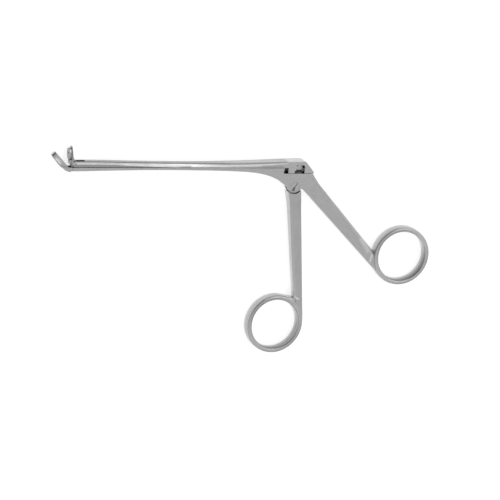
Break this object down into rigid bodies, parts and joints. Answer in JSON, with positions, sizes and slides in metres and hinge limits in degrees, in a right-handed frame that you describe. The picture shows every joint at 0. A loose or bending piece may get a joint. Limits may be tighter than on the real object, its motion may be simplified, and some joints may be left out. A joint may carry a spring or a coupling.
{
  "type": "nasal forceps",
  "caption": "Nasal forceps: a sliding upper shaft driven by ring handles closes a hinged punch jaw into an upturned ring-shaped lower jaw.",
  "frame": {"origin": "centre of the box joint's side face, the face the instrument lies on, 4.7 mm above the handle pivot's axis", "axes": "+X along the shaft towards the handles, +Y from the rings up to the shaft, +Z through the thickness, away from the surface it lies on"},
  "size_m": [0.1957, 0.0986, 0.0048],
  "materials": {
    "limb_steel": "satin brushed",
    "slide_steel": "satin brushed",
    "lever_steel": "satin brushed",
    "jaw_steel": "satin brushed",
    "pin_steel": "satin brushed",
    "screw_steel": "satin brushed"
  },
  "bodies": {
    "frame": {"fixed_limb": "limb_steel", "jaw_pivot_pin": "pin_steel", "pivot_screw": "screw_steel"},
    "slide": {"upper_slide": "slide_steel"},
    "lever": {"front_lever": "lever_steel"},
    "jaw": {"upper_jaw": "jaw_steel", "jaw_link_pin": "pin_steel"}
  },
  "joints": [
    {"name": "handle_pivot", "type": "hinge", "parent": "frame", "child": "lever", "pos_m": [0, -0.0047, 0.0024], "axis": [0, 0, 1], "range_deg": [0, 11.6]},
    {"name": "slide_travel", "type": "slide", "parent": "frame", "child": "slide", "axis": [-1, 0, 0], "range_m": [0, 0.00166]},
    {"name": "jaw_hinge", "type": "hinge", "parent": "frame", "child": "jaw", "pos_m": [-0.1124, 0.00345, 0.0024], "axis": [0, 0, 1], "range_deg": [0, 41.4]}
  ],
  "couplings": [
    {"joint": "slide_travel", "follows": "handle_pivot", "m_per_rad": 0.00819},
    {"joint": "jaw_hinge", "follows": "handle_pivot", "ratio": 3.5623}
  ]
}
